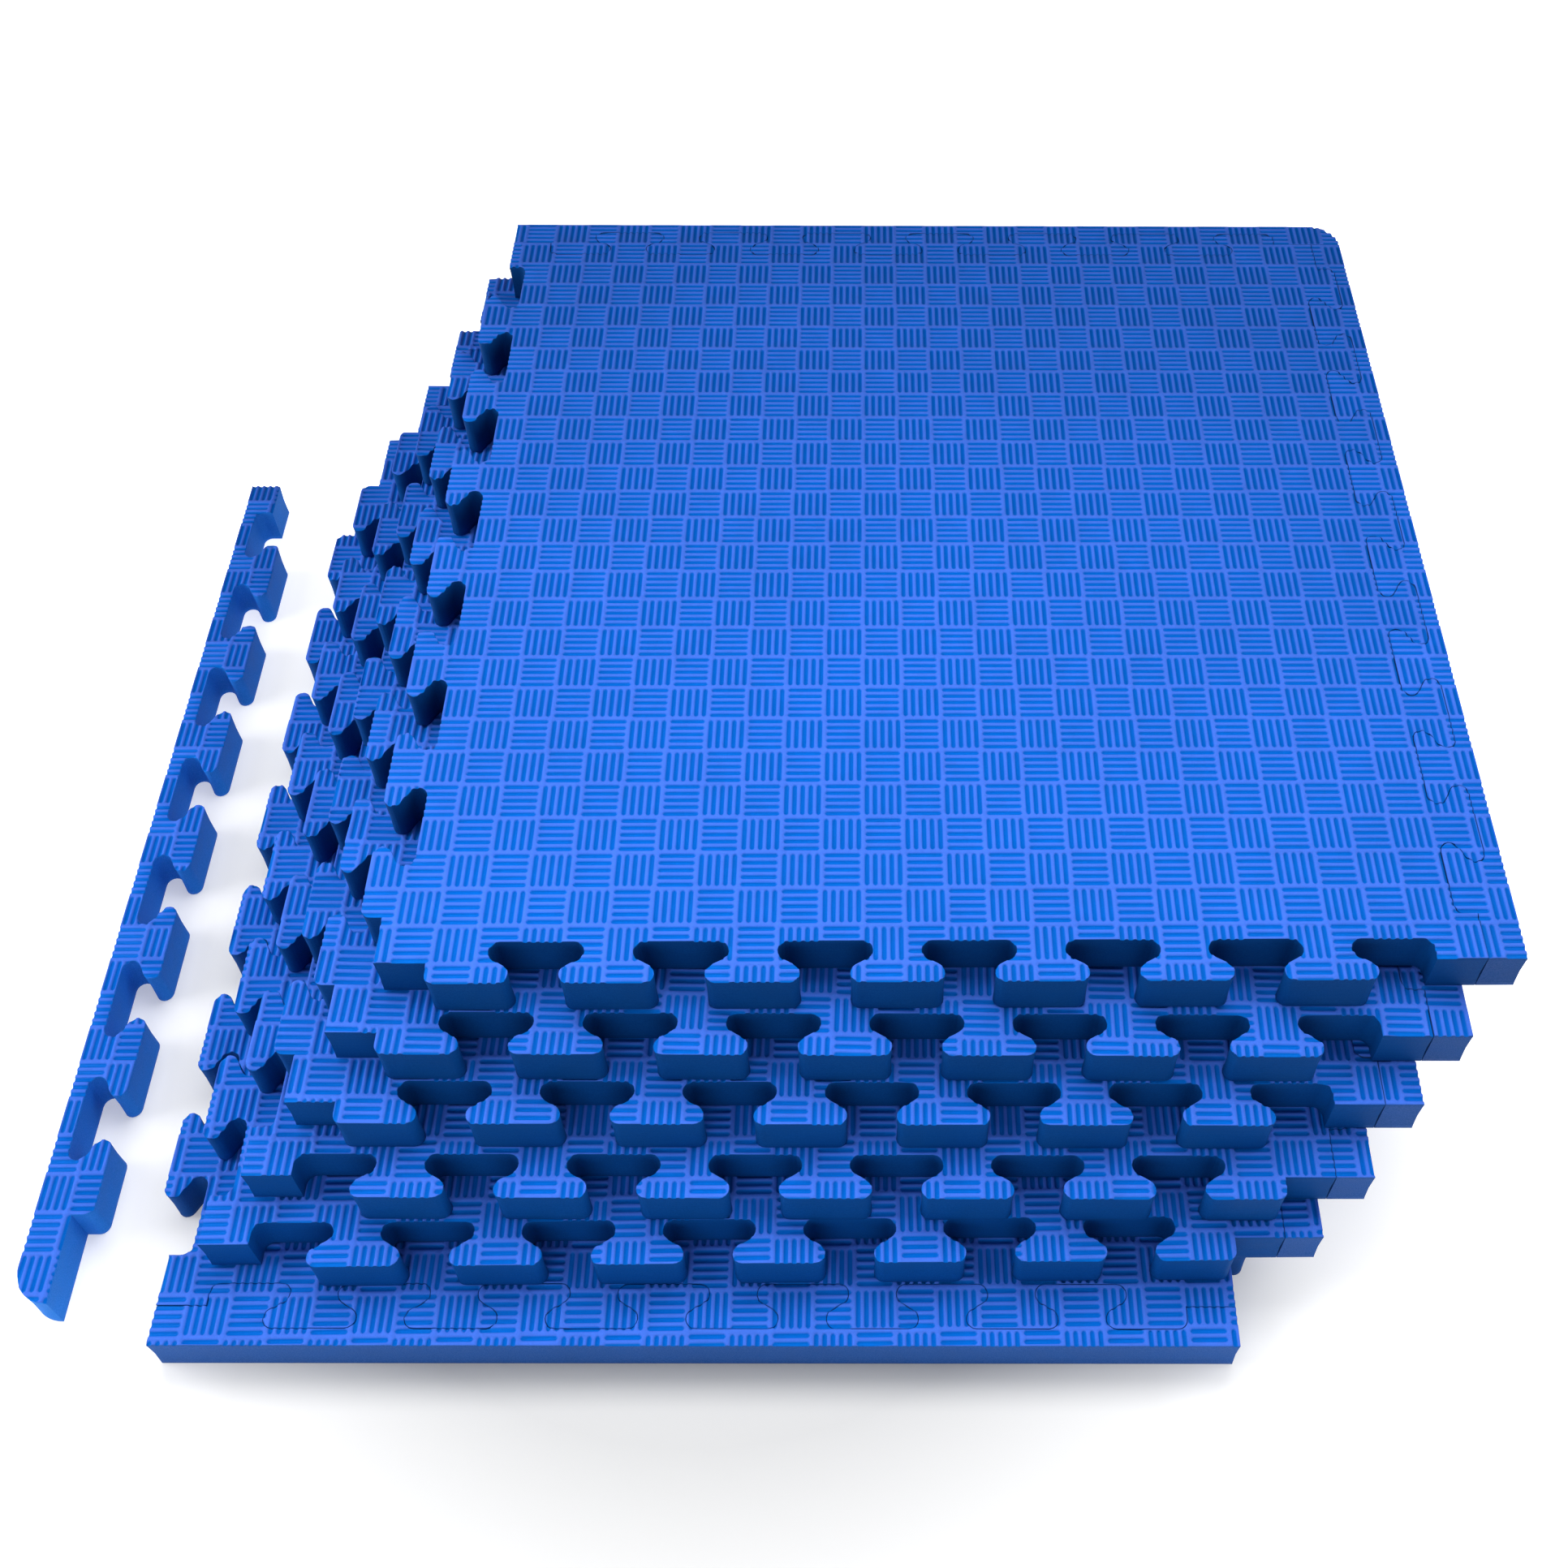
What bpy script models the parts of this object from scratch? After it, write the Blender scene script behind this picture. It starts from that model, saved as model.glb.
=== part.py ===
"""Stack of six interlocking foam floor mats with their edge strips."""
import math

import bmesh
import bpy

MM = 0.001

# One tile, measured to the middle line of its interlocking edge.
TILE = 609.6
HALF = TILE / 2
THICK = 31.6
STACK_GAP = 0.4
PITCH = THICK + STACK_GAP

# Interlocking edge: a plain land at each corner, then tabs and sockets.
TAB_COUNT = 7
LAND = 28.4
REACH = 12.4
TAB_HALF = 26.0
CORNER_R = 5.6
STEP = (TILE - 2 * LAND) / TAB_COUNT
FIRST_TAB = (TILE - (TAB_COUNT - 0.5) * STEP) / 2
FIT_GAP = 0.2

# Edge strips.
STRIP_W = 21.8
STRIP_R = 21.0

# Round resolution.
BEND_STEPS = 2
ROUND_STEPS = 5

# Centre x, centre y, turn in degrees and quarter turns of each mat, bottom first.
PLACES = (
    (0.0, 0.0, 0.0, 1),
    (23.8, 24.7, 0.5, 1),
    (52.5, 49.0, 0.0, 1),
    (78.0, 77.5, 0.0, 0),
    (102.5, 103.0, 0.0, 0),
    (128.3, 130.7, 0.5, 0),
)
LOOSE_PLACE = (-369.8, 22.8, 0.55)

FOAM = (0.010, 0.130, 0.720)
FOAM_EDGE = (0.012, 0.110, 0.620)


def clear_scene():
    for item in list(bpy.data.objects):
        bpy.data.objects.remove(item, do_unlink=True)


def foam_material(name, colour):
    mat = bpy.data.materials.new(name)
    mat.use_nodes = True
    shader = mat.node_tree.nodes["Principled BSDF"]
    shader.inputs["Base Color"].default_value = (*colour, 1.0)
    shader.inputs["Roughness"].default_value = 0.75
    return mat


def arc(cx, cy, radius, start, end, steps):
    points = []
    for i in range(steps + 1):
        angle = math.radians(start + (end - start) * i / steps)
        points.append((cx + radius * math.cos(angle), cy + radius * math.sin(angle)))
    return points


def flank(tab_x):
    """Side of a tab from its tip to the floor of the next socket."""
    depth = REACH - CORNER_R
    tip = (tab_x + TAB_HALF - CORNER_R, -depth)
    root = (tab_x + STEP / 2 - TAB_HALF + CORNER_R, depth)
    span = math.hypot(root[0] - tip[0], root[1] - tip[1])
    lean = math.degrees(math.atan2(root[1] - tip[1], root[0] - tip[0]))
    turn = lean - math.degrees(math.acos(2 * CORNER_R / span))
    outer = arc(*tip, CORNER_R, -90, turn, BEND_STEPS)
    inner = arc(*root, CORNER_R, turn + 180, 90, BEND_STEPS)
    return outer + inner


def edge_profile():
    """Edge read from its tab end; negative y is outside the tile."""
    points = [(0.0, 0.0), (LAND, 0.0)]
    points += arc(LAND + CORNER_R, CORNER_R - REACH, CORNER_R, 180, 270, BEND_STEPS)
    for i in range(TAB_COUNT):
        tab_x = FIRST_TAB + i * STEP
        points += flank(tab_x)
        if i < TAB_COUNT - 1:
            back = flank(-tab_x - STEP)
            points += [(-x, y) for x, y in reversed(back)]
    end = TILE - LAND
    points += arc(end - CORNER_R, REACH - CORNER_R, CORNER_R, 90, 0, BEND_STEPS)
    points += [(end, 0.0), (TILE, 0.0)]
    return points


def flipped(profile):
    return [(TILE - x, y) for x, y in reversed(profile)]


def turned(points, degrees, dx=0.0, dy=0.0):
    cos_a = math.cos(math.radians(degrees))
    sin_a = math.sin(math.radians(degrees))
    return [(dx + x * cos_a - y * sin_a, dy + x * sin_a + y * cos_a) for x, y in points]


def side_curve(side, quarter):
    """Middle-line curve of one side; 0 front, 1 right, 2 back, 3 left."""
    profile = edge_profile()
    if (side + quarter) % 2:
        profile = flipped(profile)
    local = [(x - HALF, y - HALF) for x, y in profile]
    return turned(local, 90 * side)


def without_repeats(points):
    kept = []
    for point in points:
        if not kept or math.dist(kept[-1], point) > 0.05:
            kept.append(point)
    if math.dist(kept[0], kept[-1]) < 0.05:
        kept.pop()
    return kept


def inset(points, gap):
    """Move every side of a counter-clockwise outline inwards by the gap."""
    points = without_repeats(points)
    count = len(points)
    moved = []
    for i, here in enumerate(points):
        before = points[i - 1]
        after = points[(i + 1) % count]
        a = math.atan2(here[1] - before[1], here[0] - before[0])
        b = math.atan2(after[1] - here[1], after[0] - here[0])
        middle = a + (math.remainder(b - a, math.tau)) / 2 + math.pi / 2
        reach = gap / math.cos(middle - math.pi / 2 - a)
        moved.append((here[0] + reach * math.cos(middle), here[1] + reach * math.sin(middle)))
    return moved


def mat_outline(quarter):
    points = []
    for side in range(4):
        points += side_curve(side, quarter)
    return inset(points, FIT_GAP)


def strip_outline(side, quarter, corner):
    """Strip on one side; a corner strip runs on round the near end of the next strip."""
    inner = turned(side_curve(side, quarter), -90 * side)
    outer_y = -HALF - STRIP_W
    points = list(reversed(inner))
    if corner == "start":
        far = -HALF - STRIP_W
        points += [(far, -HALF)]
        points += arc(far + STRIP_R, outer_y + STRIP_R, STRIP_R, 180, 270, ROUND_STEPS)
        points += [(HALF, outer_y)]
    else:
        points += [(-HALF, outer_y), (HALF, outer_y)]
    return turned(inset(points, FIT_GAP), 90 * side)


def prism(name, outline, z_low, place, material):
    """Upright foam piece; its origin is the middle of its own footprint."""
    cx, cy, degrees = place
    world = turned(outline, degrees, cx, cy)
    mid_x = (min(p[0] for p in world) + max(p[0] for p in world)) / 2
    mid_y = (min(p[1] for p in world) + max(p[1] for p in world)) / 2
    mesh = bpy.data.meshes.new(name)
    shape = bmesh.new()
    low = [shape.verts.new(((x - mid_x) * MM, (y - mid_y) * MM, 0.0)) for x, y in world]
    high = [shape.verts.new((v.co.x, v.co.y, THICK * MM)) for v in low]
    shape.faces.new(list(reversed(low)))
    shape.faces.new(high)
    for i, vert in enumerate(low):
        after = (i + 1) % len(low)
        shape.faces.new((vert, low[after], high[after], high[i]))
    shape.normal_update()
    caps = [f for f in shape.faces if len(f.verts) > 4]
    bmesh.ops.triangulate(shape, faces=caps)
    bmesh.ops.recalc_face_normals(shape, faces=shape.faces)
    shape.to_mesh(mesh)
    shape.free()
    mesh.materials.append(material)
    piece = bpy.data.objects.new(name, mesh)
    piece.location = (mid_x * MM, mid_y * MM, z_low * MM)
    bpy.context.collection.objects.link(piece)
    mesh.set_sharp_from_angle(angle=math.radians(50))
    return piece


def build_level(level):
    x, y, degrees, quarter = PLACES[level - 1]
    place = (x, y, degrees)
    z_low = (level - 1) * PITCH
    body = foam_material(f"foam_mat_{level}", FOAM)
    prism(f"mat_{level}", mat_outline(quarter), z_low, place, body)
    if level == 1:
        front = foam_material("foam_front_strip_1", FOAM_EDGE)
        prism("front_strip_1", strip_outline(0, quarter, ""), z_low, place, front)
        return
    side = foam_material(f"foam_side_strip_{level}", FOAM_EDGE)
    prism(f"side_strip_{level}", strip_outline(1, quarter, ""), z_low, place, side)
    back = foam_material(f"foam_back_strip_{level}", FOAM_EDGE)
    prism(f"back_strip_{level}", strip_outline(2, quarter, "start"), z_low, place, back)


def build_loose_strip():
    """Corner strip for the left side of the bottom mat, laid beside the stack."""
    foam = foam_material("foam_loose_corner_strip", FOAM_EDGE)
    outline = loose_outline()
    prism("loose_corner_strip", outline, 0.0, LOOSE_PLACE, foam)


def loose_outline():
    """Left-side strip whose rounded end turns the front corner; its inner line is x = 0."""
    inner = turned(side_curve(3, PLACES[0][3]), -270)
    outer_y = -HALF - STRIP_W
    far = HALF + STRIP_W
    points = list(reversed(inner))
    points += [(-HALF, outer_y)]
    points += arc(far - STRIP_R, outer_y + STRIP_R, STRIP_R, 270, 360, ROUND_STEPS)
    points += [(far, -HALF)]
    centred = [(x, y + HALF) for x, y in inset(points, FIT_GAP)]
    return turned(centred, 270)


clear_scene()
for stack_level in range(1, len(PLACES) + 1):
    build_level(stack_level)
build_loose_strip()
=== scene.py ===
"""Stack of interlocking foam floor mats with their edge strips, drawn around its solids."""
import math

import bpy
import numpy as np
from mathutils import Matrix, Vector
from mathutils.geometry import delaunay_2d_cdt


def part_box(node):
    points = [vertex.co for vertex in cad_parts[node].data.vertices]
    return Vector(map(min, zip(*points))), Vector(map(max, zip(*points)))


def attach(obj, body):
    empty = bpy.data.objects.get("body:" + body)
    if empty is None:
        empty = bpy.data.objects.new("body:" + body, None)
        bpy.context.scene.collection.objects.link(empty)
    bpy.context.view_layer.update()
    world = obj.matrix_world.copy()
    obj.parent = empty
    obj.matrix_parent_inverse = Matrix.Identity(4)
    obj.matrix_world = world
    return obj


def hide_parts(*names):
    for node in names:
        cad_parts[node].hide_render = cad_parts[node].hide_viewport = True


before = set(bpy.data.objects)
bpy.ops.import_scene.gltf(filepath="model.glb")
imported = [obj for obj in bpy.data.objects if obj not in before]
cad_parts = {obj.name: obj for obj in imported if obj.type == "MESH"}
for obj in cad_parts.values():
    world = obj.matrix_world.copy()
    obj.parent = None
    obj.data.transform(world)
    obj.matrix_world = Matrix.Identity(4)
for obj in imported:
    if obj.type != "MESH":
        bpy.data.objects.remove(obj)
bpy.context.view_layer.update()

MM = 0.001

# One tile in millimetres, measured to the middle line of its interlocking edge.
TILE = 609.6
HALF = TILE / 2
THICK = 31.6

# Interlocking edge: a plain land at each corner, then tabs and sockets.
TAB_COUNT = 7
LAND = 28.4
REACH = 12.4
TAB_HALF = 26.0
CORNER_R = 5.6
STEP = (TILE - 2 * LAND) / TAB_COUNT
FIRST_TAB = (TILE - (TAB_COUNT - 0.5) * STEP) / 2
FIT_GAP = 0.12

# Edge strips.
STRIP_W = 21.8
STRIP_R = 21.0

# Round resolution.
BEND_STEPS = 7
ROUND_STEPS = 12

# Points of an outline closer than this are one point.
SAME_POINT = 0.05

# Pressed basket weave: squares of five round-ended grooves, every second one turned.
SQUARE = TILE / 26
GROOVES = 5
GROOVE_PITCH = SQUARE / GROOVES
GROOVE_R = 1.75
GROOVE_FLOOR_R = 1.0
GROOVE_END = 0.95
GROOVE_STRAIGHT = SQUARE / 2 - GROOVE_END - GROOVE_R
GROOVE_DEPTH = 1.4
GROOVE_SHAPE = 2.5
RIM_STEPS = 4
FLOOR_STEPS = 2

# Places tried along a groove to see whether any of it is inside an outline, in half lengths.
PROBES = np.linspace(-1.3, 1.3, 9)

# Twice the area of a triangle too thin to place, in square millimetres.
SLIVER = 0.002
SLIVER_ROUNDS = 4

# Cut edge: a rounded lip above, a slight waist and a small round at the floor.
LIP = 0.4
LIP_IN = 0.72
LIP_DROP = 0.30
WAIST = 0.45
WAIST_LEVELS = (0.88, 0.5, 0.12)
FOOT_HEIGHT = 0.9
FOOT_IN = 0.02
SOLE_IN = 0.38
# Share of cut colour on the ring just under the rim; the rest is skin colour, a painted highlight
# along the rim.
LIP_CUT_UNDER_PAINTED_HIGHLIGHT = 0.35
SHARP_ANGLE = math.radians(66)

# Turn in degrees and quarter turns of each level's tile, bottom first.
LEVELS = ((0.0, 1), (0.5, 1), (0.0, 1), (0.0, 0), (0.0, 0), (0.5, 0))
LOOSE_TURN = 0.55

# Weave of each level: squares in from the tile's left and front middle lines, which of the two
# ways round, and turn in degrees.
WEAVES = (
    (0.61, 0.386, 0, 0.68),
    (0.59, 0.11, 1, 0.5),
    (0.53, -0.05, 1, 0.2),
    (0.445, 0.10, 0, -0.2),
    (0.08, -0.02, 1, -1.0),
    (0.35, -0.04, 0, 0.0),
)
LOOSE_WEAVE = (0.872, 0.27, 1, 0.0)


# ---------------------------------------------------------------- outlines

def arc(cx, cy, radius, start, end, steps):
    points = []
    for i in range(steps + 1):
        angle = math.radians(start + (end - start) * i / steps)
        points.append((cx + radius * math.cos(angle), cy + radius * math.sin(angle)))
    return points


def flank(tab_x):
    """Side of a tab from its tip to the floor of the next socket."""
    depth = REACH - CORNER_R
    tip = (tab_x + TAB_HALF - CORNER_R, -depth)
    root = (tab_x + STEP / 2 - TAB_HALF + CORNER_R, depth)
    span = math.hypot(root[0] - tip[0], root[1] - tip[1])
    lean = math.degrees(math.atan2(root[1] - tip[1], root[0] - tip[0]))
    turn = lean - math.degrees(math.acos(2 * CORNER_R / span))
    outer = arc(*tip, CORNER_R, -90, turn, BEND_STEPS)
    inner = arc(*root, CORNER_R, turn + 180, 90, BEND_STEPS)
    return outer + inner


def edge_profile():
    """Edge read from its tab end; negative y is outside the tile."""
    points = [(0.0, 0.0), (LAND, 0.0)]
    points += arc(LAND + CORNER_R, CORNER_R - REACH, CORNER_R, 180, 270, BEND_STEPS)
    for i in range(TAB_COUNT):
        tab_x = FIRST_TAB + i * STEP
        points += flank(tab_x)
        if i < TAB_COUNT - 1:
            back = flank(-tab_x - STEP)
            points += [(-x, y) for x, y in reversed(back)]
    end = TILE - LAND
    points += arc(end - CORNER_R, REACH - CORNER_R, CORNER_R, 90, 0, BEND_STEPS)
    points += [(end, 0.0), (TILE, 0.0)]
    return points


def turned(points, degrees, dx=0.0, dy=0.0):
    cos_a = math.cos(math.radians(degrees))
    sin_a = math.sin(math.radians(degrees))
    return [(dx + x * cos_a - y * sin_a, dy + x * sin_a + y * cos_a) for x, y in points]


def side_curve(side, quarter):
    """Middle-line curve of one side; 0 front, 1 right, 2 back, 3 left."""
    profile = edge_profile()
    if (side + quarter) % 2:
        profile = [(TILE - x, y) for x, y in reversed(profile)]
    local = [(x - HALF, y - HALF) for x, y in profile]
    return turned(local, 90 * side)


def without_repeats(points):
    kept = []
    for point in points:
        if not kept or math.dist(kept[-1], point) > SAME_POINT:
            kept.append(point)
    if math.dist(kept[0], kept[-1]) < SAME_POINT:
        kept.pop()
    return kept


def inset(points, gap):
    """Move every side of a counter-clockwise outline inwards by the gap."""
    count = len(points)
    moved = []
    for i, here in enumerate(points):
        before = points[i - 1]
        after = points[(i + 1) % count]
        a = math.atan2(here[1] - before[1], here[0] - before[0])
        b = math.atan2(after[1] - here[1], after[0] - here[0])
        middle = a + (math.remainder(b - a, math.tau)) / 2 + math.pi / 2
        reach = gap / math.cos(middle - math.pi / 2 - a)
        moved.append((here[0] + reach * math.cos(middle), here[1] + reach * math.sin(middle)))
    return moved


def mat_outline(quarter):
    points = []
    for side in range(4):
        points += side_curve(side, quarter)
    return inset(without_repeats(points), FIT_GAP)


def strip_outline(side, quarter, rounded):
    """Strip on one side; a corner strip runs on round the near end of the next strip."""
    inner = turned(side_curve(side, quarter), -90 * side)
    outer_y = -HALF - STRIP_W
    points = list(reversed(inner))
    if rounded:
        far = -HALF - STRIP_W
        points += [(far, -HALF)]
        points += arc(far + STRIP_R, outer_y + STRIP_R, STRIP_R, 180, 270, ROUND_STEPS)
        points += [(HALF, outer_y)]
    else:
        points += [(-HALF, outer_y), (HALF, outer_y)]
    return turned(inset(without_repeats(points), FIT_GAP), 90 * side)


def loose_outline(quarter):
    """Left-side strip whose rounded end turns the front corner; its inner line is x = 0."""
    inner = turned(side_curve(3, quarter), -270)
    outer_y = -HALF - STRIP_W
    far = HALF + STRIP_W
    points = list(reversed(inner))
    points += [(-HALF, outer_y)]
    points += arc(far - STRIP_R, outer_y + STRIP_R, STRIP_R, 270, 360, ROUND_STEPS)
    points += [(far, -HALF)]
    centred = [(x, y + HALF) for x, y in inset(without_repeats(points), FIT_GAP)]
    return turned(centred, 270)


# ---------------------------------------------------------------- pressed weave

def weave_depth(points, weave):
    """How far the weave is pressed in at each point: 0 on a ridge, 1 on a groove's floor."""
    left, front, swap, turn = weave
    square_x, square_y = np.array(turned(points, -turn)).T
    across_x = (square_x + HALF) / SQUARE - left
    across_y = (square_y + HALF) / SQUARE - front
    col = np.floor(across_x)
    row = np.floor(across_y)
    in_x = (across_x - col - 0.5) * SQUARE
    in_y = (across_y - row - 0.5) * SQUARE
    upright = (col + row + swap) % 2 > 0.5
    along = np.where(upright, in_y, in_x)
    across = np.where(upright, in_x, in_y)
    nearest = np.clip(np.round(across / GROOVE_PITCH), -(GROOVES // 2), GROOVES // 2)
    beyond = np.maximum(np.abs(along) - GROOVE_STRAIGHT, 0.0)
    reach = np.hypot(across - nearest * GROOVE_PITCH, beyond) / GROOVE_R
    return 1.0 - np.clip(reach, 0.0, 1.0) ** GROOVE_SHAPE


def groove_template():
    """One groove lying along x, as points and lines: its rim, a ring inside it and its spine."""
    points = []
    lines = []
    for radius, steps in ((GROOVE_R, RIM_STEPS), (GROOVE_FLOOR_R, FLOOR_STEPS)):
        first = len(points)
        end = arc(GROOVE_STRAIGHT, 0.0, radius, -90, 90, steps)
        ring = end + [(-x, -y) for x, y in end]
        points += ring
        lines += [(first + i, first + (i + 1) % len(ring)) for i in range(len(ring))]
    first = len(points)
    points += [(GROOVE_STRAIGHT, 0.0), (-GROOVE_STRAIGHT, 0.0)]
    lines.append((first, first + 1))
    return np.array(points), np.array(lines)


def weave_lines(outline, weave):
    """Points and lines of all the grooves that reach into the outline."""
    left, front, swap, turn = weave
    outline = np.array(turned(outline, -turn))
    low = outline.min(axis=0)
    high = outline.max(axis=0)
    flat, lines = groove_template()
    upright = flat[:, ::-1] * np.array((-1.0, 1.0))
    start = np.floor((low + HALF) / SQUARE - (left, front)).astype(int)
    stop = np.ceil((high + HALF) / SQUARE - (left, front)).astype(int)
    points = []
    for col in range(start[0], stop[0]):
        for row in range(start[1], stop[1]):
            middle = (np.array((col + left, row + front)) + 0.5) * SQUARE - HALF
            standing = (col + row + swap) % 2
            for i in range(GROOVES):
                shift = (i - GROOVES // 2) * GROOVE_PITCH
                offset = (shift, 0.0) if standing else (0.0, shift)
                points.append((upright if standing else flat) + middle + offset)
    points = np.array(points)
    inside = (points.max(axis=1) > low).all(axis=1) & (points.min(axis=1) < high).all(axis=1)
    points = reaching_in(points[inside], outline)
    steps = np.arange(len(points)) * len(flat)
    all_lines = (lines[None, :, :] + steps[:, None, None]).reshape(-1, 2)
    return np.array(turned(points.reshape(-1, 2), turn)), all_lines


def reaching_in(grooves, outline):
    """The grooves that aren't wholly outside the outline."""
    middles = grooves[:, :-2].mean(axis=1)
    along = (grooves[:, -2] - middles)[:, None, :] * PROBES[None, :, None]
    probes = np.concatenate((grooves, middles[:, None, :] + along), axis=1)
    held = contains(outline, probes.reshape(-1, 2)).reshape(len(grooves), -1)
    return grooves[held.any(axis=1)]


def contains(outline, points):
    """Which points are inside a closed outline, by counting crossings to their right."""
    inside = np.zeros(len(points), bool)
    before = np.roll(outline, 1, axis=0)
    for (x0, y0), (x1, y1) in zip(before, outline):
        if y0 == y1:
            continue
        between = (points[:, 1] < max(y0, y1)) & (points[:, 1] >= min(y0, y1))
        rows = np.nonzero(between)[0]
        slope = (x1 - x0) / (y1 - y0)
        crossing = x0 + (points[rows, 1] - y0) * slope
        inside[rows] ^= points[rows, 0] < crossing
    return inside


# ---------------------------------------------------------------- foam pieces

def top_surface(rim, weave):
    """Triangles of the pressed top inside the rim, and the order of its border points."""
    grooves, lines = weave_lines(rim, weave)
    first = len(grooves)
    border = [(first + i, first + (i + 1) % len(rim)) for i in range(len(rim))]
    points = [Vector(p) for p in np.vstack((grooves, rim)).tolist()]
    made = delaunay_2d_cdt(points, lines.tolist() + border, [], 0, 1e-6, True)
    places = np.array([tuple(v) for v in made[0]])
    faces = np.array(made[2])
    on_rim = [edge for edge, ids in zip(made[1], made[4]) if ids and max(ids) >= len(lines)]
    inside = contains(rim, places[faces].mean(axis=1))
    settle_slivers(places, faces, inside, edge_keys(np.array(on_rim), len(places)))
    faces = faces[inside]
    used, faces = np.unique(faces, return_inverse=True)
    faces = faces.reshape(-1, 3)
    places = places[used]
    turn = doubled_area(places, faces)
    faces[turn < 0] = faces[turn < 0][:, ::-1]
    return places, faces, border_loop(faces, len(places))


def doubled_area(places, faces):
    """Twice each triangle's area, below zero where it turns clockwise."""
    a, b, c = (places[faces[:, i]] for i in range(3))
    return (b[:, 0] - a[:, 0]) * (c[:, 1] - a[:, 1]) - (b[:, 1] - a[:, 1]) * (c[:, 0] - a[:, 0])


def triangle_edges(faces):
    return np.vstack((faces[:, (0, 1)], faces[:, (1, 2)], faces[:, (2, 0)])).astype(np.int64)


def edge_keys(edges, count):
    """One number for each edge, the same in both directions."""
    return edges.min(axis=1).astype(np.int64) * count + edges.max(axis=1)


def settle_slivers(places, faces, inside, rim_keys):
    """A triangle too thin to place for itself goes with a neighbour on its own side of the rim."""
    thin = np.abs(doubled_area(places, faces)) < SLIVER
    keys = edge_keys(triangle_edges(faces), len(places))
    owner = np.tile(np.arange(len(faces)), 3)
    order = np.argsort(keys, kind="stable")
    keys, owner = keys[order], owner[order]
    shared = (keys[1:] == keys[:-1]) & ~np.isin(keys[1:], rim_keys)
    first, second = owner[:-1][shared], owner[1:][shared]
    for _ in range(SLIVER_ROUNDS):
        for here, beside in ((first, second), (second, first)):
            follows = thin[here] & ~thin[beside]
            inside[here[follows]] = inside[beside[follows]]
            thin[here[follows]] = False


def border_loop(faces, count):
    """The single closed loop of edges that have a triangle on one side only."""
    edges = triangle_edges(faces)
    keys = edge_keys(edges, count)
    _, index, uses = np.unique(keys, return_index=True, return_counts=True)
    outer = edges[index[uses == 1]]
    after = dict(outer.tolist())
    start = int(outer[0, 0])
    loop = [start]
    while after[loop[-1]] != start:
        loop.append(after[loop[-1]])
    if len(loop) != len(outer):
        raise ValueError(f"the border has {len(outer)} edges and its loop {len(loop)}")
    return np.array(loop)


def pushed_out(points, rim, outer):
    """The place on the outer outline that belongs to each point of the rim."""
    ahead = np.roll(rim, -1, axis=0)
    outer_ahead = np.roll(outer, -1, axis=0)
    side = ahead - rim
    length = (side ** 2).sum(axis=1)
    found = np.empty_like(points)
    for i, point in enumerate(points):
        share = np.clip(((point - rim) * side).sum(axis=1) / length, 0.0, 1.0)
        gap = ((rim + side * share[:, None] - point) ** 2).sum(axis=1)
        k = int(gap.argmin())
        found[i] = outer[k] + (outer_ahead[k] - outer[k]) * share[k]
    return found


def bottom_faces(ring):
    """Triangles that close the underside, as places in the ring."""
    points = [Vector(p) for p in ring.tolist()]
    count = len(points)
    border = [(i, (i + 1) % count) for i in range(count)]
    made = delaunay_2d_cdt(points, border, [], 0, 1e-7, True)
    if len(made[0]) != count:
        raise ValueError(f"the underside has {len(made[0])} points for {count}")
    source = np.array([ids[0] for ids in made[3]])
    places = np.array([tuple(v) for v in made[0]])
    faces = np.array(made[2])
    faces = faces[contains(ring, places[faces].mean(axis=1))]
    turn = doubled_area(places, faces)
    faces[turn > 0] = faces[turn > 0][:, ::-1]
    return source[faces]


def wall_rings(edge, outer, depth):
    """Rings of points down the cut edge, from just under the rim to the underside."""
    inward = (edge - outer) / LIP
    top = THICK - depth * GROOVE_DEPTH
    rings = [
        (edge - inward * LIP * LIP_IN, top - LIP * LIP_DROP),
        (outer, top - LIP),
    ]
    for level in WAIST_LEVELS:
        waist = WAIST * math.sin(math.pi * level)
        rings.append((outer + inward * waist, np.full(len(edge), THICK * level)))
    rings.append((outer + inward * FOOT_IN, np.full(len(edge), LIP * FOOT_HEIGHT)))
    rings.append((outer + inward * SOLE_IN, np.zeros(len(edge))))
    return rings


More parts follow.
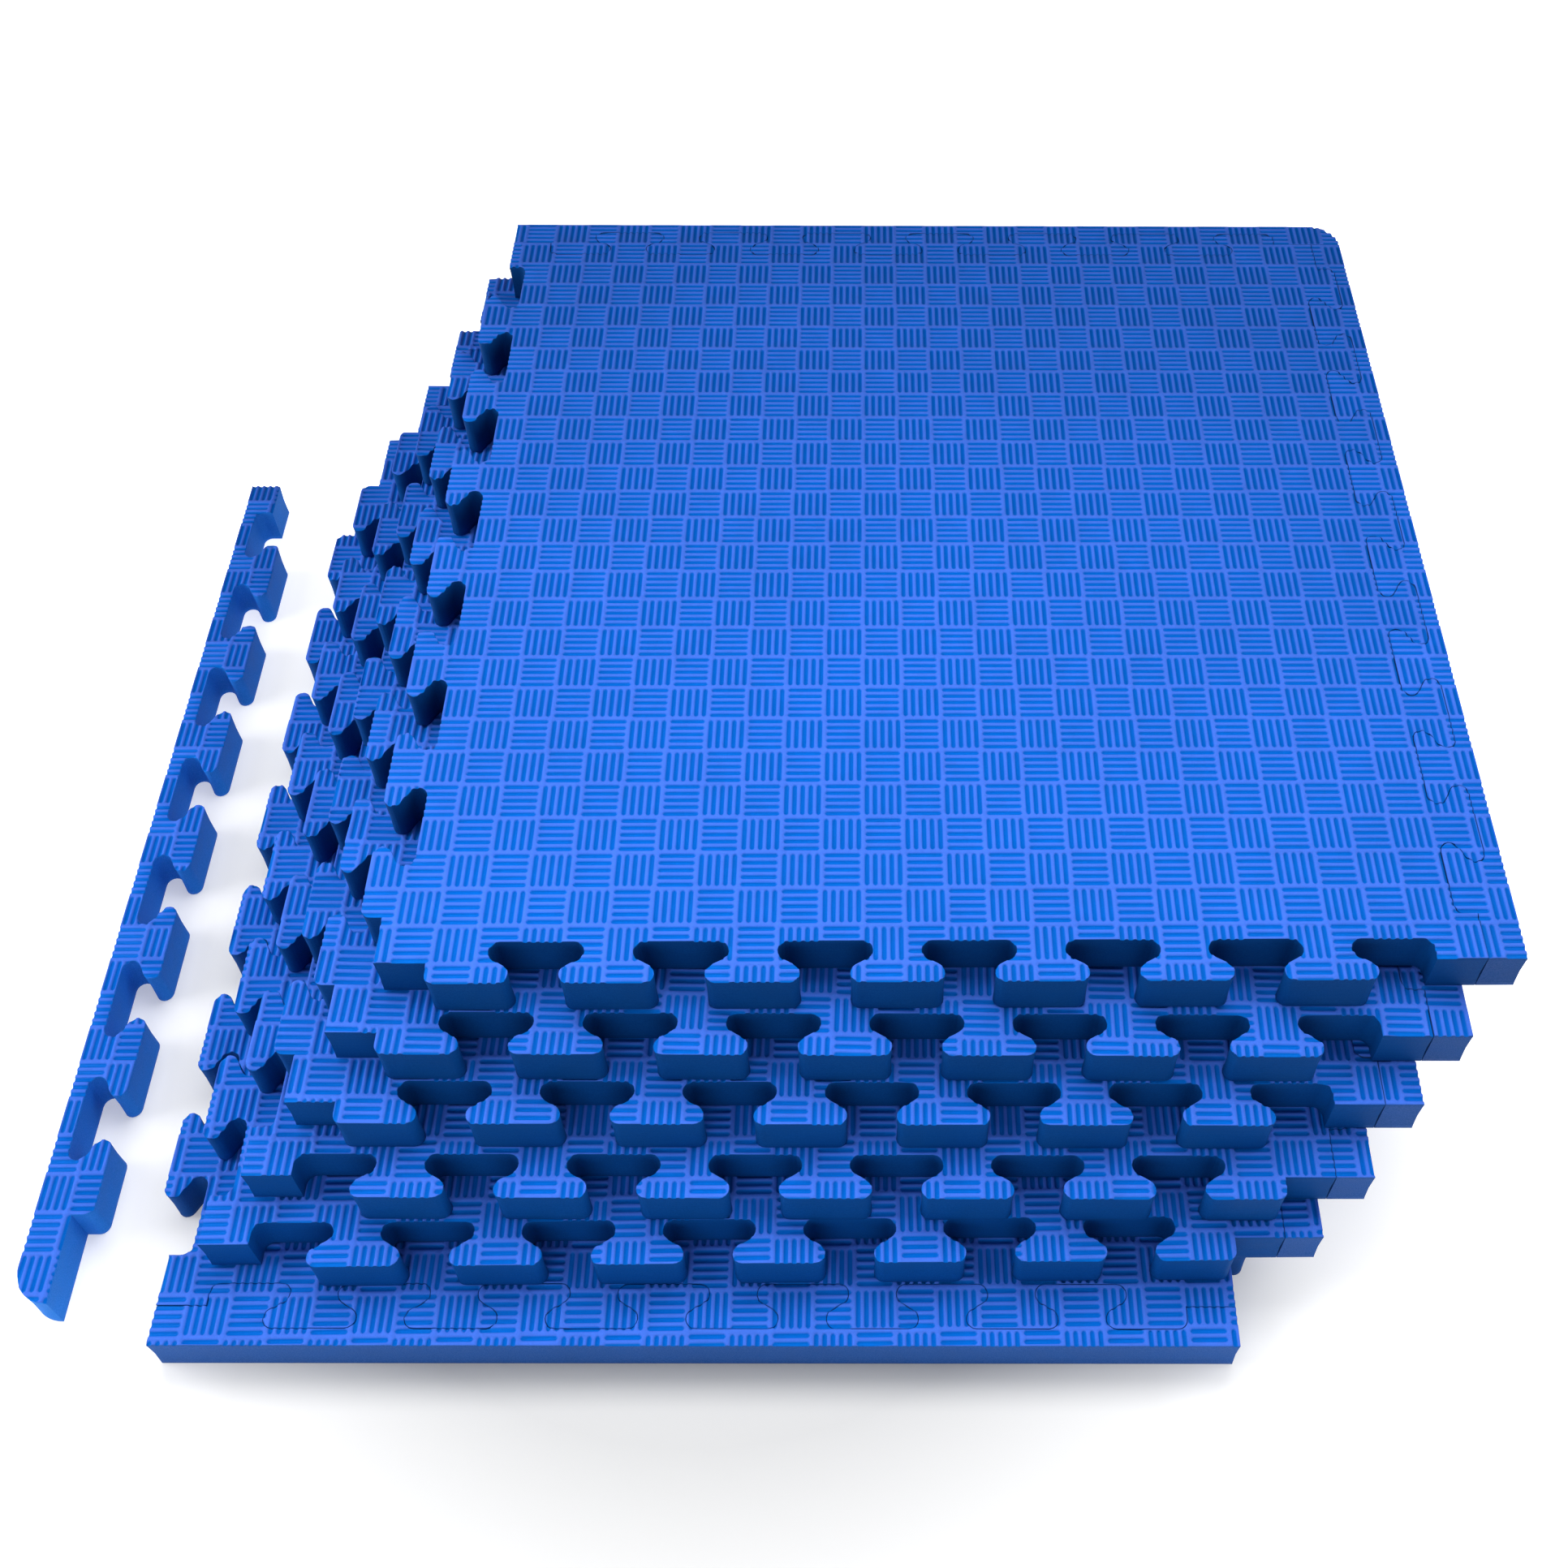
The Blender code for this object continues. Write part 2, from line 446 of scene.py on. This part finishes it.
def foam_mesh(name, outline, weave, place, z_low):
    """Closed mesh of one foam piece in the row frame, with its weave and cut edge."""
    outer = np.array(outline)
    rim = np.array(inset(outline, LIP))
    places, faces, loop = top_surface(rim, weave)
    depth = weave_depth(places, weave)
    edge = places[loop]
    edge_outer = pushed_out(edge, rim, outer)
    rings = wall_rings(edge, edge_outer, depth[loop])
    count = len(loop)
    flat = [places] + [ring for ring, _ in rings]
    high = [THICK - depth * GROOVE_DEPTH] + [height for _, height in rings]
    plan = np.vstack(flat)
    cx, cy, degrees = place
    plan = np.array(turned(plan, degrees, cx, cy))
    points = np.column_stack((plan, np.concatenate(high) + z_low)) * MM
    starts = [len(places) + i * count for i in range(len(rings))]
    upper = loop
    here = np.arange(count)
    ahead = np.roll(here, -1)
    walls = []
    for start in starts:
        lower = here + start
        walls.append(np.column_stack((upper, lower, lower[ahead], upper[ahead])))
        upper = lower
    walls = np.vstack(walls)
    under = bottom_faces(rings[-1][0]) + starts[-1]
    polygons = faces.tolist() + walls.tolist() + under.tolist()
    mesh = bpy.data.meshes.new(name)
    mesh.from_pydata(points.tolist(), [], polygons)
    pressed = np.zeros(len(points))
    pressed[:len(places)] = depth
    pressed[len(places):len(places) + 2 * count] = np.tile(depth[loop], 2)
    cut = np.ones(len(points))
    cut[:len(places)] = 0.0
    # The ring under the rim keeps mostly skin colour: a painted highlight along the rim.
    cut[starts[0]:starts[0] + count] = LIP_CUT_UNDER_PAINTED_HIGHLIGHT
    store(mesh, "pressed", pressed)
    store(mesh, "cut", cut)
    mesh.shade_smooth()
    mesh.set_sharp_from_angle(angle=SHARP_ANGLE)
    return mesh


def store(mesh, name, values):
    """Keep one number for each point on the mesh, for the material to read."""
    layer = mesh.attributes.new(name, "FLOAT", "POINT")
    layer.data.foreach_set("value", np.asarray(values, np.float32))


def add_piece(name, outline, weave, place, z_low, material):
    mesh = foam_mesh(name, outline, weave, place, z_low)
    mesh.materials.append(material)
    piece = bpy.data.objects.new("foam_" + name, mesh)
    bpy.context.scene.collection.objects.link(piece)
    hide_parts(name)
    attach(piece, name)


# ---------------------------------------------------------------- materials

class Nodes:
    """Short helper for making a shader tree."""

    def __init__(self, material):
        material.use_nodes = True
        self.tree = material.node_tree
        self.shader = self.tree.nodes["Principled BSDF"]

    def add(self, kind, inputs=None, **settings):
        node = self.tree.nodes.new(kind)
        for key, value in settings.items():
            setattr(node, key, value)
        for key, value in (inputs or {}).items():
            if isinstance(value, bpy.types.NodeSocket):
                self.tree.links.new(value, node.inputs[key])
            else:
                node.inputs[key].default_value = value
        return node

    def link(self, source, target):
        self.tree.links.new(source, self.shader.inputs[target])

    def math(self, operation, a, b=0.0):
        node = self.add("ShaderNodeMath", {0: a, 1: b}, operation=operation)
        return node.outputs[0]

    def mix(self, factor, a, b):
        node = self.add("ShaderNodeMix", {0: factor, 6: a, 7: b}, data_type="RGBA")
        return node.outputs[2]

    def ramp(self, value, low, high, to_low=0.0, to_high=1.0):
        span = {"From Min": low, "From Max": high, "To Min": to_low, "To Max": to_high}
        node = self.add("ShaderNodeMapRange", {"Value": value, **span})
        return node.outputs["Result"]

    def noise(self, place, scale, detail=2.0, rough=0.5):
        node = self.add(
            "ShaderNodeTexNoise",
            {"Vector": place, "Scale": scale, "Detail": detail, "Roughness": rough},
        )
        return node.outputs["Fac"]


# Pressed skin of the foam, on the ridges and down in the grooves; the ridge colour is lighter and
# pinker than the groove colour, a painted sheen on the ridges.
RIDGE_WITH_PAINTED_SHEEN = (0.045, 0.132, 0.590, 1.0)
GROOVE = (0.000, 0.104, 0.470, 1.0)
PRESSED_FROM = 0.05
PRESSED_TO = 0.72
SHEEN_TINT = (0.20, 0.55, 1.0, 1.0)
FAINT_GLOSS = 0.1

# Two colours of cut foam, mixed by its grain: on the mats, the strips and the loose strip. The
# mats' and strips' cut colours are darker than the pressed skin, a painted shade on their walls;
# the loose strip's are much lighter, a painted light on its right-facing walls.
MAT_EDGE_SHADED = ((0.0005, 0.050, 0.225, 1.0), (0.003, 0.062, 0.255, 1.0))
STRIP_EDGE_SHADED = ((0.010, 0.070, 0.270, 1.0), (0.034, 0.094, 0.320, 1.0))
LOOSE_EDGE_LIT = ((0.008, 0.150, 0.560, 1.0), (0.024, 0.170, 0.610, 1.0))
# Painted shade on the cut edges of each level, darker level by level upwards, bottom first.
EDGE_SHADE_BY_LEVEL = (1.10, 0.97, 0.87, 0.80, 0.73, 0.66)

# Scales of the foam's unevenness, in repeats per metre, and the height of its grain in metres.
BROAD_SCALE = 7.0
BLOTCH_SCALE = 70.0
GRAIN_SCALE = 1500.0
CELL_SCALE = 1400.0
SLICE_SCALE = (30.0, 30.0, 900.0)
SLICE_SHARE = 1.2
GRAIN_HEIGHT = 0.00018

# Where each piece's pattern starts, a step further on for each piece.
PATTERN_STEP = (0.37, 0.61, 0.13)
LOOSE_NUMBER = 40


def shaded_for_level(colours, level):
    """Edge colours with the painted shade of one level."""
    # Painted shade: the level's factor darkens its edge colours.
    tone = EDGE_SHADE_BY_LEVEL[level - 1]
    return tuple((red * tone, green * tone, blue * tone, 1.0) for red, green, blue, _ in colours)


def foam_material(name, number, edge_colours):
    """Closed-cell foam: pressed skin on top, its ridges with a painted sheen, and fine cut cells
    on the edges in colours that carry painted light and shade.
    """
    material = bpy.data.materials.new(name)
    n = Nodes(material)
    coords = n.add("ShaderNodeTexCoord").outputs["Object"]
    shift = tuple(step * number for step in PATTERN_STEP)
    place = n.add("ShaderNodeVectorMath", {0: coords, 1: shift}, operation="ADD").outputs[0]
    pressed = n.add("ShaderNodeAttribute", attribute_name="pressed").outputs["Fac"]
    cut = n.add("ShaderNodeAttribute", attribute_name="cut").outputs["Fac"]
    broad = n.noise(place, BROAD_SCALE, 3.0)
    blotch = n.noise(place, BLOTCH_SCALE, 3.0)
    grain = n.noise(place, GRAIN_SCALE, 2.0, 0.6)
    cells = n.add("ShaderNodeTexVoronoi", {"Vector": place, "Scale": CELL_SCALE})
    cells = cells.outputs["Distance"]
    sliced = n.add("ShaderNodeMapping", {"Vector": place, "Scale": SLICE_SCALE}).outputs[0]
    slices = n.noise(sliced, 1.0, 3.0)

    down = n.ramp(pressed, PRESSED_FROM, PRESSED_TO)
    # Ridges take the lighter, pinker colour: a painted sheen.
    skin = n.mix(down, RIDGE_WITH_PAINTED_SHEEN, GROOVE)
    # Cut-edge colour: painted shade on the mats and strips, painted light on the loose strip.
    edge = n.mix(n.ramp(grain, 0.35, 0.7), *edge_colours)
    colour = n.mix(n.ramp(cut, 0.1, 0.9), skin, edge)
    broad_shade = n.ramp(broad, 0.3, 0.7, 0.94, 1.05)
    blotch_shade = n.ramp(blotch, 0.3, 0.7, 0.96, 1.04)
    shade = n.math("MULTIPLY", broad_shade, blotch_shade)
    shade = n.math("MULTIPLY", shade, n.ramp(grain, 0.3, 0.7, 0.95, 1.04))
    tinted = n.add("ShaderNodeVectorMath", {0: colour, "Scale": shade}, operation="SCALE")
    n.link(tinted.outputs[0], "Base Color")

    skin_to_cut = n.ramp(cut, 0.0, 1.0, 0.52, 0.72)
    n.link(n.math("ADD", skin_to_cut, n.ramp(blotch, 0.3, 0.7, -0.04, 0.05)), "Roughness")
    n.shader.inputs["Specular IOR Level"].default_value = FAINT_GLOSS
    n.shader.inputs["Specular Tint"].default_value = SHEEN_TINT

    streaks = n.math("MULTIPLY", slices, cut)
    height = n.math("ADD", n.math("MULTIPLY", grain, 0.5), n.math("MULTIPLY", cells, 0.5))
    height = n.math("ADD", height, n.math("MULTIPLY", streaks, SLICE_SHARE))
    relief = {"Height": height, "Strength": 0.35, "Distance": GRAIN_HEIGHT}
    n.link(n.add("ShaderNodeBump", relief).outputs[0], "Normal")
    return material


# Floor: its grey in front of the stack, darker as painted shade to deepen the shadow there, and
# beside it, and how far out in metres it changes.
FLOOR_FRONT_SHADED = (0.50, 0.50, 0.50, 1.0)
FLOOR_BESIDE = (0.74, 0.74, 0.74, 1.0)
BESIDE_FROM = 0.26
BESIDE_TO = 0.36

# The floor's glow grows outwards round an oval whose middle is a little in front.
GLOW_BACK = (0.0, 0.1, 0.0)
GLOW_OVAL = (3.6, 3.5, 0.0)
GLOW_FROM = 0.95
GLOW_TO = 2.1
GLOW_LOW = 0.03
GLOW_HIGH = 0.95


def floor_material():
    """White studio floor, darker in front of the stack as painted shade, lifted a little by its
    own glow away from the object.
    """
    material = bpy.data.materials.new("studio_floor")
    n = Nodes(material)
    coords = n.add("ShaderNodeTexCoord").outputs["Object"]
    aside = n.math("ABSOLUTE", n.add("ShaderNodeSeparateXYZ", {0: coords}).outputs["X"])
    # Floor grey darker near the middle: painted shade for the contact shadows.
    beside = n.ramp(aside, BESIDE_FROM, BESIDE_TO)
    n.link(n.mix(beside, FLOOR_FRONT_SHADED, FLOOR_BESIDE), "Base Color")
    out = n.add("ShaderNodeVectorMath", {0: coords, 1: GLOW_BACK}, operation="ADD").outputs[0]
    out = n.add("ShaderNodeVectorMath", {0: out, 1: GLOW_OVAL}, operation="MULTIPLY").outputs[0]
    out = n.add("ShaderNodeVectorMath", {0: out}, operation="LENGTH").outputs["Value"]
    n.link(n.ramp(out, GLOW_FROM, GLOW_TO, GLOW_LOW, GLOW_HIGH), "Emission Strength")
    n.shader.inputs["Emission Color"].default_value = (1.0, 1.0, 1.0, 1.0)
    n.shader.inputs["Roughness"].default_value = 0.9
    n.shader.inputs["Specular IOR Level"].default_value = FAINT_GLOSS
    return material


# ---------------------------------------------------------------- assembly

def level_place(level):
    """Centre and turn of a level's tile; a tile's box is centred on the tile."""
    low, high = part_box(f"mat_{level}")
    middle = (low + high) / 2 / MM
    return (middle.x, middle.y, LEVELS[level - 1][0]), low.z / MM


def build_level(level):
    """One mat of the stack with the strips that are fitted to it."""
    place, z_low = level_place(level)
    quarter = LEVELS[level - 1][1]
    number = level * 3
    name = f"mat_{level}"
    weave = WEAVES[level - 1]
    # Cut edges darkened level by level upwards: painted shade.
    foam = foam_material("foam_" + name, number, shaded_for_level(MAT_EDGE_SHADED, level))
    add_piece(name, mat_outline(quarter), weave, place, z_low, foam)
    strips = [("side_strip", 1, False), ("back_strip", 2, True)]
    if level == 1:
        strips = [("front_strip", 0, False)]
    for kind, side, rounded in strips:
        number += 1
        name = f"{kind}_{level}"
        outline = strip_outline(side, quarter, rounded)
        foam = foam_material("foam_" + name, number, shaded_for_level(STRIP_EDGE_SHADED, level))
        add_piece(name, outline, weave, place, z_low, foam)


def build_loose_strip():
    """The strip lying free beside the stack; its drawn outline is centred on its own box."""
    name = "loose_corner_strip"
    outline = loose_outline(LEVELS[0][1])
    low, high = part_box(name)
    middle = (low + high) / 2 / MM
    drawn = np.array(turned(outline, LOOSE_TURN))
    offset = (drawn.min(axis=0) + drawn.max(axis=0)) / 2
    place = (middle.x - offset[0], middle.y - offset[1], LOOSE_TURN)
    foam = foam_material("foam_" + name, LOOSE_NUMBER, LOOSE_EDGE_LIT)
    add_piece(name, outline, LOOSE_WEAVE, place, low.z / MM, foam)


# Half width of the floor, and how far below the mats it lies.
FLOOR_REACH = 9.0
FLOOR_DROP = -0.0002


def add_floor():
    mesh = bpy.data.meshes.new("studio_floor")
    corners = [(-1, -1, 0), (1, -1, 0), (1, 1, 0), (-1, 1, 0)]
    corners = [Vector(corner) * FLOOR_REACH for corner in corners]
    mesh.from_pydata(corners, [], [(0, 1, 2, 3)])
    mesh.materials.append(floor_material())
    floor = bpy.data.objects.new("studio_floor", mesh)
    floor.location.z = FLOOR_DROP
    bpy.context.scene.collection.objects.link(floor)


# Name, place, target, size in metres, watts and spread of each lamp.
LAMPS = (
    ("overhead_softbox", (0.05, 0.21, 1.15), (0.05, -1.20, 0.0), (1.4, 0.6), 8.7, 2.14),
    ("left_softbox", (-1.3, -0.05, 0.95), (0.0, 0.05, 0.1), (0.8, 1.4), 6.6, 1.50),
    ("right_softbox", (1.3, 0.0, 0.95), (0.0, 0.11, 0.1), (0.8, 1.4), 3.8, 1.50),
    ("front_softbox", (-0.20, -1.25, 0.65), (-0.10, -0.30, 0.0), (1.2, 0.5), 5.4, 3.14),
)


def add_lamp(name, place, target, size, power, spread):
    lamp = bpy.data.lights.new(name, "AREA")
    lamp.shape = "RECTANGLE"
    lamp.size, lamp.size_y = size
    lamp.energy = power
    lamp.spread = spread
    item = bpy.data.objects.new(name, lamp)
    item.location = place
    aim = Vector(target) - Vector(place)
    item.rotation_euler = aim.to_track_quat("-Z", "Y").to_euler()
    item.visible_camera = False
    bpy.context.scene.collection.objects.link(item)


# The surroundings are brighter below the first height of direction than above the second.
WORLD_TINT = (0.96, 0.98, 1.0, 1.0)
WORLD_FADE = {"From Min": 0.20, "From Max": 0.36, "To Min": 0.80, "To Max": 0.18}


def studio_world():
    """Pale all round at eye level and dimmer overhead."""
    world = bpy.data.worlds.new("studio")
    world.use_nodes = True
    tree = world.node_tree
    coords = tree.nodes.new("ShaderNodeTexCoord")
    split = tree.nodes.new("ShaderNodeSeparateXYZ")
    tree.links.new(coords.outputs["Generated"], split.inputs[0])
    fade = tree.nodes.new("ShaderNodeMapRange")
    tree.links.new(split.outputs["Z"], fade.inputs["Value"])
    for key, value in WORLD_FADE.items():
        fade.inputs[key].default_value = value
    back = tree.nodes["Background"]
    back.inputs["Color"].default_value = WORLD_TINT
    tree.links.new(fade.outputs["Result"], back.inputs["Strength"])
    return world


# Camera: lens and shift, place in metres, and its yaw, pitch and roll in radians.
LENS = 41.57
SHIFT = (-0.0721, -0.1353)
CAMERA_PLACE = (0.09804, -0.65541, 1.07926)
YAW = -0.01801
PITCH = 0.70831
ROLL = 0.01983


def add_camera():
    camera = bpy.data.cameras.new("camera")
    camera.sensor_width = 36.0
    camera.lens = LENS
    camera.shift_x, camera.shift_y = SHIFT
    camera.clip_start = 0.05
    item = bpy.data.objects.new("camera", camera)
    turn = Matrix.Rotation(YAW, 4, "Z") @ Matrix.Rotation(PITCH, 4, "X")
    turn = turn @ Matrix.Rotation(ROLL, 4, "Z")
    item.matrix_world = Matrix.Translation(CAMERA_PLACE) @ turn
    bpy.context.scene.collection.objects.link(item)
    bpy.context.scene.camera = item


add_camera()
for stack_level in range(1, len(LEVELS) + 1):
    build_level(stack_level)
build_loose_strip()
add_floor()
for lamp_setting in LAMPS:
    add_lamp(*lamp_setting)
bpy.context.scene.world = studio_world()
bpy.context.scene.view_settings.view_transform = "Standard"
